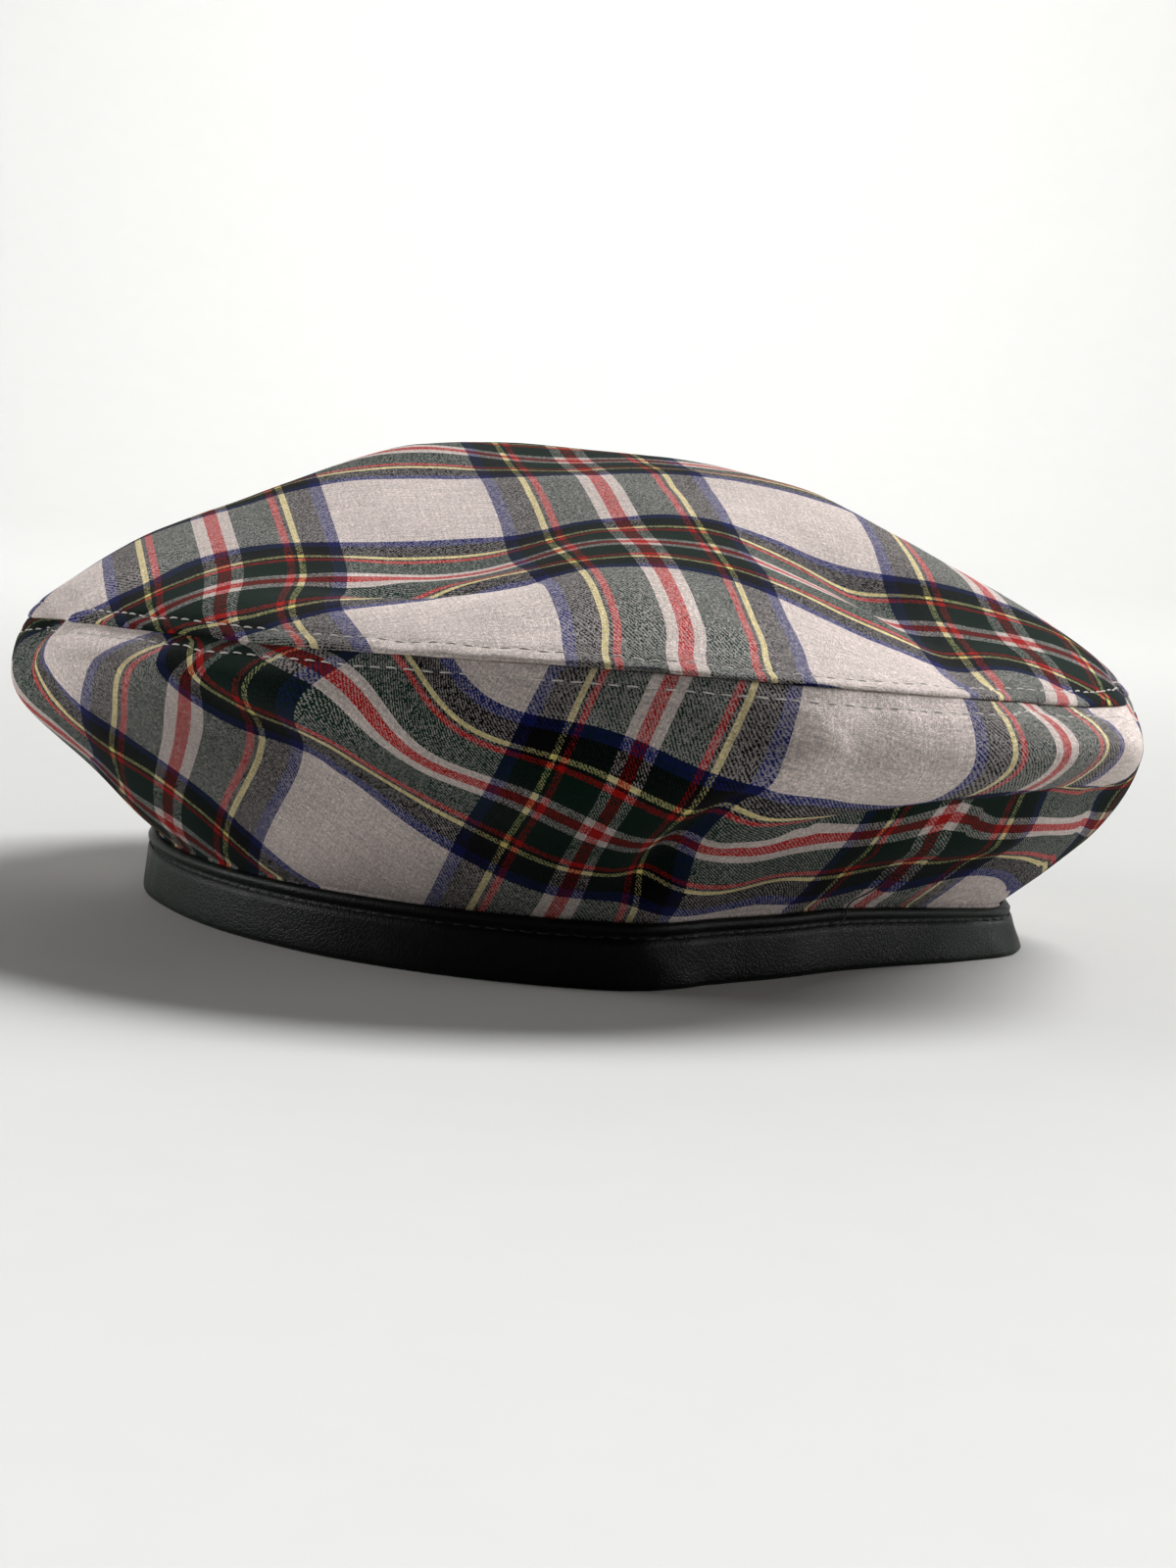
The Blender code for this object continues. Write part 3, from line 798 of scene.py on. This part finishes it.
class BandSettings(bpy.types.PropertyGroup):
    """Leather head band."""
    grain_size: size_setting("Grain", 0.0008, "Size of the leather's pressed grain")
    colour: colour_setting("Leather", "#050706", "Colour of the leather")
    # Colour of the painted sheen at both sides of the head
    painted_sheen_colour: colour_setting("Painted sheen", "#1C2620", "Colour of the painted sheen at both sides of the head")


class SewingSettings(bpy.types.PropertyGroup):
    """Stitches and thread."""
    pitch: size_setting("Pitch", 0.0035, "From one stitch to the next")
    length: size_setting("Length", 0.0024, "Length of a stitch that shows")
    thickness: size_setting("Thread", 0.00034, "Thickness of the thread")
    thread: colour_setting("Thread", "#C4BEB8", "Thread of the topstitching")
    band_thread: colour_setting("Band thread", "#0A0B0B", "Thread of the band's stitching")
    seed: IntProperty(name="Seed", description="Which small unevenness the stitches have", default=4, min=0)


class StageSettings(bpy.types.PropertyGroup):
    """Floor, light and camera."""
    floor_size: size_setting("Floor", 6.0, "Width of the floor")
    floor_colour: colour_setting("Floor", "#BABAB8", "Colour of the floor")
    sweep: size_setting("Sweep", 1.6, "From the cap back to where the floor curves up")
    distance: size_setting("Distance", 0.700, "From the head opening to the camera")
    height: size_setting("Height", 0.113, "Height of the camera")
    aim: size_setting("Aim", 0.029, "Height over the head opening that the camera looks at")
    lens: FloatProperty(name="Lens", description="Focal length in millimetres", default=72.45, min=10.0)
    roll: FloatProperty(name="Roll", description="Turn of the camera about its view", subtype="ANGLE",
                        default=math.radians(4.0))
    key_strength: FloatProperty(name="Key light", description="Strength of the wide soft light from above",
                                default=10.2, min=0.0)
    right_power: power_setting("Right light", 5.5, "Power of the soft light at the right")
    left_power: power_setting("Left light", 10.5, "Power of the soft light at the left")
    backdrop_power: power_setting("Backdrop light", 56.0, "Power of the light on the backdrop")
    sky: FloatProperty(name="Surroundings", description="Brightness of the room", default=0.06, min=0.0)


class CapSettings(bpy.types.PropertyGroup):
    """All the cap's settings."""
    cloth: PointerProperty(type=ClothSettings)
    band: PointerProperty(type=BandSettings)
    sewing: PointerProperty(type=SewingSettings)
    stage: PointerProperty(type=StageSettings)


# ---- Cloth panels --------------------------------------------------------------------------
def laid(panel, reaches):
    """A panel's rings at these reaches, smooth and then folded."""
    azimuth = steps_around()
    return [np.stack([place(azimuth, np.full_like(azimuth, reach)) for reach in reaches])
            for place in (PANELS[panel], partial(folded, panel))]


def rolled_edge(seam, way):
    """Rings of a panel's edge out to the seam, above it (1) or below it (-1)."""
    inward = spoke(steps_around())
    return np.stack([seam - inward * inwards + (0.0, 0.0, way * away) for inwards, away in SEAM_CURL])


def with_relief(panel, grid, seam, keep=1.0):
    """A grid with the panel's fine relief on it, which fades out at the seam."""
    distance = np.linalg.norm(grid - seam, axis=-1)
    rise = relief(panel, grid, distance) * smooth_step(distance / SEAM_STAND) * keep
    return grid + grid_normals(grid) * rise[..., None]


def top_grid():
    """Points of the top panel from near its middle down to the seam, and their cloth."""
    length = PANEL_LENGTH["top"]
    smooth, grid = laid("top", 1.0 - ring_distances(length - MIDDLE_FAN)[::-1] / length)
    seam = seam_line(steps_around())
    grid = with_relief("top", np.concatenate([grid, rolled_edge(seam, 1)]), seam)
    smooth = np.concatenate([smooth, grid[len(smooth):]])
    first = np.linalg.norm(smooth[0] - TOP_MIDDLE, axis=-1)
    cloth = top_cloth(np.append(steps_around(), 180.0), with_last(first + arc_lengths(smooth)))
    return grid, pulled("top", smooth, cloth)


def under_grid():
    """Points of the under panel from the seam down into the band's slot, and their cloth."""
    azimuth, length = steps_around(), PANEL_LENGTH["under"]
    smooth, grid = laid("under", np.append(ring_distances(length) / length, 1.0))
    seam = seam_line(azimuth)
    edge = rolled_edge(seam, -1)[::-1]
    tucked = band_point(azimuth, neck_inset(), BAND_HEIGHT - CLOTH_TUCK)
    tuck = [smooth[-1] + share * (tucked - smooth[-1]) for share in TUCK_RINGS]
    grid = np.concatenate([edge, grid, tuck])
    above_band = grid[..., 2] - around(BAND_SECTIONS, 2, azimuth)
    grid = with_relief("under", grid, seam, smooth_step(above_band / SLOT_BLEND))
    smooth = np.concatenate([edge, smooth, tuck])
    cloth = under_cloth(np.append(azimuth, 180.0), with_last(arc_lengths(smooth)))
    return grid, pulled("under", smooth, cloth)


class MakeCrownTop(bpy.types.Operator):
    """Make the round top panel of tartan cloth"""
    bl_idname = "tartan_cap.crown_top"
    bl_label = "Top Panel"

    def execute(self, context):
        settings = context.scene.tartan_cap
        grid, cloth = top_grid()
        piece = make_mesh("tartan_crown_top", grid, cloth, middle=TOP_MIDDLE)
        give_wall(piece, settings.cloth.wall)
        piece.data.materials.append(make_tartan("woven_tartan_twill", settings.cloth))
        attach(piece, "root")
        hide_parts("crown_top")
        return {"FINISHED"}


class MakeCrownUnder(bpy.types.Operator):
    """Make the ring-shaped under panel of tartan cloth"""
    bl_idname = "tartan_cap.crown_under"
    bl_label = "Under Panel"

    def execute(self, context):
        settings = context.scene.tartan_cap
        grid, cloth = under_grid()
        piece = make_mesh("tartan_crown_under", grid, cloth)
        give_wall(piece, settings.cloth.wall)
        piece.data.materials.append(bpy.data.materials["woven_tartan_twill"])
        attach(piece, "root")
        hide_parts("crown_under")
        return {"FINISHED"}


# ---- Head band -----------------------------------------------------------------------------
def arc_points(centre, radius, start, stop, count):
    """Points of an arc in the band's section, angles in degrees."""
    angle = np.radians(np.linspace(start, stop, count))
    return [(centre[0] + radius * math.cos(a), centre[1] + radius * math.sin(a)) for a in angle]


def band_section():
    """Closed section of the folded strip: outwards from its outer face, and height."""
    lip, bend, edge = LIP_HEIGHT / 2, BEND_RADIUS, INNER_EDGE_RADIUS
    inner, outer_slot, inner_slot = -BAND_DEPTH, -LEAF_THICKNESS, LEAF_THICKNESS - BAND_DEPTH
    return [
        (outer_slot, BAND_HEIGHT - LIP_TURN),
        *arc_points((LIP_CENTRE, BAND_HEIGHT - lip), lip, 115, -62, 9),
        *[(out, BAND_HEIGHT - LIP_HEIGHT - down) for out, down in GROOVE],
        *[(LEAF_BULGE, height) for height in OUTER_LEVELS],
        *arc_points((CORNER_BULGE - bend, bend), bend, 0, -90, 6),
        *arc_points((inner + bend, bend), bend, -90, -180, 6),
        *[(inner, height) for height in INNER_LEVELS],
        *arc_points((inner + edge, BAND_HEIGHT - edge), edge, 180, 20, 5),
        (inner_slot, BAND_HEIGHT - INNER_SLOPE),
        (inner_slot, BAND_FOLD),
        (outer_slot, BAND_FOLD),
    ]


class MakeHeadBand(bpy.types.Operator):
    """Make the leather strip folded round the edge of the cloth"""
    bl_idname = "tartan_cap.head_band"
    bl_label = "Head Band"

    def execute(self, context):
        azimuth = steps_around()
        grid = np.stack([band_point(azimuth, -out, height) for out, height in band_section()])
        dents = sum(bumps(grid, size, height, size) * np.exp(-((azimuth - centre) / reach) ** 2)
                    for centre, reach, size, height in BAND_DENTS)
        grid = grid + spoke(azimuth) * dents[..., None]
        piece = make_mesh("leather_head_band", grid, closed=True)
        piece.data.materials.append(make_leather("grained_imitation_leather", context.scene.tartan_cap.band))
        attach(piece, "root")
        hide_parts("head_band")
        return {"FINISHED"}


# ---- Sewing --------------------------------------------------------------------------------
STITCH_SHAPE = {"sunk": -1.6, "crest": 3.4}     # ends and middle of a stitch's arch, in rises
STITCH_SKEW = 0.10          # how far a stitch can be turned askew, in radians
STITCH_RISE = {"seam": 0.35, "band": 0.4}       # in thicknesses of thread
BAND_ROW = (0.25, 0.6)      # the band's stitches: in from its outer face, down from the lip


def stitch_tree():
    """Geometry nodes that set a thread's stitches along a path, turned with its outward attribute."""
    tree = bpy.data.node_groups.new("stitches_along_path", "GeometryNodeTree")
    face = tree.interface
    face.new_socket("Path", in_out="INPUT", socket_type="NodeSocketGeometry")
    for name in ("Pitch", "Length", "Thickness", "Rise"):
        face.new_socket(name, in_out="INPUT", socket_type="NodeSocketFloat")
    face.new_socket("Seed", in_out="INPUT", socket_type="NodeSocketInt")
    face.new_socket("Thread", in_out="INPUT", socket_type="NodeSocketMaterial")
    face.new_socket("Stitches", in_out="OUTPUT", socket_type="NodeSocketGeometry")
    add = partial(node, tree)
    given = add("NodeGroupInput").outputs
    line = add("GeometryNodeMeshToCurve", {0: given["Path"]})
    points = add("GeometryNodeResampleCurve", {"Curve": line, "Length": given["Pitch"]}, mode="LENGTH")
    out = add("GeometryNodeInputNamedAttribute", {"Name": "outward"}, data_type="FLOAT_VECTOR")
    ahead = add("FunctionNodeAlignRotationToVector", {"Vector": add("GeometryNodeInputTangent")}, axis="X")
    upright = add("FunctionNodeAlignRotationToVector", {"Rotation": ahead, "Vector": out},
                  axis="Z", pivot_axis="X")
    skew = add("FunctionNodeRandomValue",
               {0: (0.0, -STITCH_SKEW, -STITCH_SKEW), 1: (0.0, STITCH_SKEW, STITCH_SKEW),
                "Seed": given["Seed"]}, data_type="FLOAT_VECTOR")
    turned = add("FunctionNodeRotateRotation", {0: upright, 1: skew}, rotation_space="LOCAL")
    half = add("Math", {0: given["Length"], 1: 0.5}, operation="MULTIPLY")
    back = add("Math", {0: given["Length"], 1: -0.5}, operation="MULTIPLY")
    sunk, crest = (add("Math", {0: given["Rise"], 1: rises}, operation="MULTIPLY")
                   for rises in STITCH_SHAPE.values())
    start = add("CombineXYZ", {0: back, 2: sunk})
    middle = add("CombineXYZ", {2: crest})
    end = add("CombineXYZ", {0: half, 2: sunk})
    arch = add("GeometryNodeCurveQuadraticBezier",
               {"Resolution": 6, "Start": start, "Middle": middle, "End": end})
    thin = add("Math", {0: given["Thickness"], 1: 0.5}, operation="MULTIPLY")
    ring = add("GeometryNodeCurvePrimitiveCircle", {"Resolution": 6, "Radius": thin})
    stitch = add("GeometryNodeCurveToMesh", {0: arch, 1: ring, "Fill Caps": True})
    placed = add("GeometryNodeInstanceOnPoints", {"Points": points, "Instance": stitch, "Rotation": turned})
    real = add("GeometryNodeRealizeInstances", {0: placed})
    smooth = add("GeometryNodeSetShadeSmooth", {0: real})
    painted = add("GeometryNodeSetMaterial", {0: smooth, "Material": given["Thread"]})
    add("NodeGroupOutput", {0: painted})
    return tree


def stitched(name, path, directions, thread, sewing, rise, seed):
    """A row of stitches along a closed path of points, standing out in these directions.

    rise is in thicknesses of the thread.
    """
    mesh = bpy.data.meshes.new(name)
    count = len(path)
    mesh.from_pydata(in_metres(path).tolist(), [(i, (i + 1) % count) for i in range(count)], [])
    mesh.attributes.new("outward", "FLOAT_VECTOR", "POINT").data.foreach_set(
        "vector", directions.astype(np.float32).ravel())
    piece = add_object(name, mesh)
    tree = bpy.data.node_groups.get("stitches_along_path") or stitch_tree()
    modifier = piece.modifiers.new("stitches", "NODES")
    modifier.node_group = tree
    given = {"Pitch": sewing.pitch, "Length": sewing.length, "Thickness": sewing.thickness,
             "Rise": sewing.thickness * rise, "Seed": seed, "Thread": thread}
    for socket in tree.interface.items_tree:
        if socket.name in given:
            modifier[socket.identifier] = given[socket.name]
    return plain(piece)


def join(name, pieces):
    """One object from several."""
    with bpy.context.temp_override(active_object=pieces[0], selected_editable_objects=pieces):
        bpy.ops.object.join()
    pieces[0].name = name
    return pieces[0]


def row_on(grid, distance_wanted):
    """Points and directions where a grid passes a distance from its seam edge."""
    distance = np.linalg.norm(grid - seam_line(steps_around()), axis=-1)
    nearest = np.abs(distance - distance_wanted).argmin(axis=0)
    pick = np.arange(grid.shape[1])
    return grid[nearest, pick], grid_normals(grid)[nearest, pick]


class MakeTopstitching(bpy.types.Operator):
    """Make the two rows of topstitching along the seam between the panels"""
    bl_idname = "tartan_cap.topstitching"
    bl_label = "Topstitching"

    def execute(self, context):
        sewing = context.scene.tartan_cap.sewing
        thread = make_thread("off_white_sewing_thread", sewing.thread, sewing.thickness)
        rows = []
        for name, grid in (("top", top_grid()[0]), ("under", under_grid()[0])):
            path, directions = row_on(grid, STITCH_ROWS[name])
            rows.append(stitched(name, path, directions, thread, sewing, STITCH_RISE["seam"], sewing.seed))
        piece = join("seam_topstitching", rows)
        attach(piece, "root")
        return {"FINISHED"}


class MakeBandStitching(bpy.types.Operator):
    """Make the row of stitches in the groove under the band's lip"""
    bl_idname = "tartan_cap.band_stitching"
    bl_label = "Band Stitching"

    def execute(self, context):
        sewing = context.scene.tartan_cap.sewing
        azimuth = steps_around()
        thread = make_thread("black_sewing_thread", sewing.band_thread, sewing.thickness)
        inset, below_lip = BAND_ROW
        path = band_point(azimuth, inset, BAND_HEIGHT - LIP_HEIGHT - below_lip)
        piece = stitched("band_stitching", path, spoke(azimuth), thread, sewing, STITCH_RISE["band"],
                         sewing.seed + 1)
        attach(piece, "root")
        return {"FINISHED"}


class MakeLooseThread(bpy.types.Operator):
    """Make the loose end of black thread that hangs over the band at the right front"""
    bl_idname = "tartan_cap.loose_thread"
    bl_label = "Loose Thread"

    def execute(self, context):
        azimuth, reach, lift = np.array(LOOSE_THREAD).T
        off, below, fall = THREAD_ON_BAND
        on_cloth = folded("under", azimuth, np.minimum(reach, 1.0))
        on_band = band_point(azimuth, -off, BAND_HEIGHT - below - fall * (reach - 1.0))
        line = np.where(reach[:, None] < 1.0, on_cloth, on_band) + spoke(azimuth) * lift[:, None]
        curve = bpy.data.curves.new("loose_thread", "CURVE")
        curve.dimensions = "3D"
        curve.bevel_depth = context.scene.tartan_cap.sewing.thickness / 2
        curve.bevel_resolution = 2
        curve.use_fill_caps = True
        spline = curve.splines.new("NURBS")
        spline.points.add(len(line) - 1)
        for point, place in zip(spline.points, in_metres(line)):
            point.co = (*place, 1.0)
        spline.use_endpoint_u = True
        spline.order_u = 3
        holder = add_object("loose_thread_path", curve)
        mesh = plain_mesh(holder)
        mesh.materials.clear()
        mesh.materials.append(bpy.data.materials["black_sewing_thread"])
        bpy.data.objects.remove(holder)
        piece = add_object("loose_thread", mesh)
        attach(piece, "root")
        return {"FINISHED"}


# ---- Stage, in metres ----------------------------------------------------------------------
SWEEP_BEND = 0.6            # radius of the floor's curve up into the backdrop
SWEEP_STEPS = 13
FLOOR_LINES = (-1.0, 0.0, 1.0)      # edges across the floor near the cap
KEY_FROM = (0.58, 0.66, 0.78)       # the key light shines from behind, at the right, and from above
KEY_ANGLE = 42.0            # how wide the key light is, in degrees: the larger, the softer its shadows
LAMPS = [
    # name, place, width, setting of its power
    ("right_light", (1.25, 0.15, 0.3), 0.6, "right_power"),
    ("left_light", (-1.25, 0.05, 0.3), 0.6, "left_power"),
    ("backdrop_light", (0.0, 1.2, 1.5), 1.6, "backdrop_power"),
]
BACKDROP_MIDDLE = 0.7       # height on the backdrop that its lamp lights
CAP_MIDDLE = 0.05           # height that the side lamps light


def aim_at(place, target, roll=0.0):
    """Matrix of a lamp or camera at a place that looks at a target, turned about its view."""
    ahead = (Vector(target) - Vector(place)).normalized()
    right = ahead.cross(Vector((0.0, 0.0, 1.0))).normalized()
    up = right.cross(ahead)
    side = right * math.cos(roll) + up * math.sin(roll)
    above = up * math.cos(roll) - right * math.sin(roll)
    turn = Matrix((side, above, -ahead)).transposed().to_4x4()
    return Matrix.Translation(place) @ turn


def add_lamp(name, place, target, size, power):
    """A square soft light."""
    lamp = bpy.data.lights.new(name, "AREA")
    lamp.size = size
    lamp.energy = power
    add_object(name, lamp).matrix_world = aim_at(place, target)


def make_sweep(size, back):
    """Seamless paper: a floor that curves up into a wall behind the cap."""
    turn = np.radians(np.linspace(0.0, 90.0, SWEEP_STEPS))
    line = [(y, 0.0) for y in (-size / 2, *FLOOR_LINES)]
    line += [(back + SWEEP_BEND * math.sin(a), SWEEP_BEND * (1.0 - math.cos(a))) for a in turn]
    line += [(back + SWEEP_BEND, size / 2)]
    points = [(x, y, z) for y, z in line for x in (-size / 2, size / 2)]
    faces = [(i, i + 1, i + 3, i + 2) for i in range(0, len(points) - 2, 2)]
    mesh = bpy.data.meshes.new("floor")
    mesh.from_pydata(points, [], faces)
    mesh.shade_smooth()
    return add_object("floor", mesh)


class MakeStage(bpy.types.Operator):
    """Make the plain floor, the soft studio light and the camera"""
    bl_idname = "tartan_cap.stage"
    bl_label = "Stage"

    def execute(self, context):
        scene, stage = context.scene, context.scene.tartan_cap.stage
        floor = make_sweep(stage.floor_size, stage.sweep)
        floor.data.materials.append(make_paper("background_paper", stage.floor_colour))

        world = bpy.data.worlds.new("studio")
        world.use_nodes = True
        backdrop = world.node_tree.nodes["Background"]
        backdrop.inputs["Color"].default_value = linear("#FFFFFF")
        backdrop.inputs["Strength"].default_value = stage.sky
        scene.world = world
        scene.view_settings.view_transform = "Standard"

        x, y = (side * MM for side in OPENING_CENTRE)
        key = bpy.data.lights.new("key_light", "SUN")
        key.energy = stage.key_strength
        key.angle = math.radians(KEY_ANGLE)
        add_object("key_light", key).matrix_world = aim_at(KEY_FROM, (0.0, 0.0, 0.0))
        for name, place, size, power in LAMPS:
            target = (x, y, CAP_MIDDLE)
            if name == "backdrop_light":
                target = (0.0, stage.sweep + SWEEP_BEND, BACKDROP_MIDDLE)
            add_lamp(name, place, target, size, getattr(stage, power))

        lens = bpy.data.cameras.new("photo_camera")
        lens.lens = stage.lens
        camera = add_object("photo_camera", lens)
        camera.matrix_world = aim_at((x, y - stage.distance, stage.height), (x, y, stage.aim), stage.roll)
        scene.camera = camera
        return {"FINISHED"}


class CapPanel(bpy.types.Panel):
    """The cap's pieces, in the order in which they are made"""
    bl_idname = "VIEW3D_PT_tartan_cap"
    bl_label = "Tartan Cap"
    bl_space_type = "VIEW_3D"
    bl_region_type = "UI"
    bl_category = "Tartan Cap"

    def draw(self, context):
        settings = context.scene.tartan_cap
        for operator in OPERATORS:
            self.layout.operator(operator.bl_idname)
        for group in (settings.cloth, settings.band, settings.sewing, settings.stage):
            box = self.layout.box()
            for name in group.__annotations__:
                box.prop(group, name)


OPERATORS = (MakeStage, MakeCrownTop, MakeCrownUnder, MakeHeadBand, MakeTopstitching, MakeBandStitching,
             MakeLooseThread)
CLASSES = (ClothSettings, BandSettings, SewingSettings, StageSettings, CapSettings, *OPERATORS, CapPanel)


def register():
    for item in CLASSES:
        bpy.utils.register_class(item)
    bpy.types.Scene.tartan_cap = PointerProperty(type=CapSettings)


def unregister():
    del bpy.types.Scene.tartan_cap
    for item in reversed(CLASSES):
        bpy.utils.unregister_class(item)


def main():
    """Make everything in order."""
    register()
    make = bpy.ops.tartan_cap
    make.stage()
    make.crown_top()
    make.crown_under()
    make.head_band()
    make.topstitching()
    make.band_stitching()
    make.loose_thread()


if __name__ == "__main__":
    main()
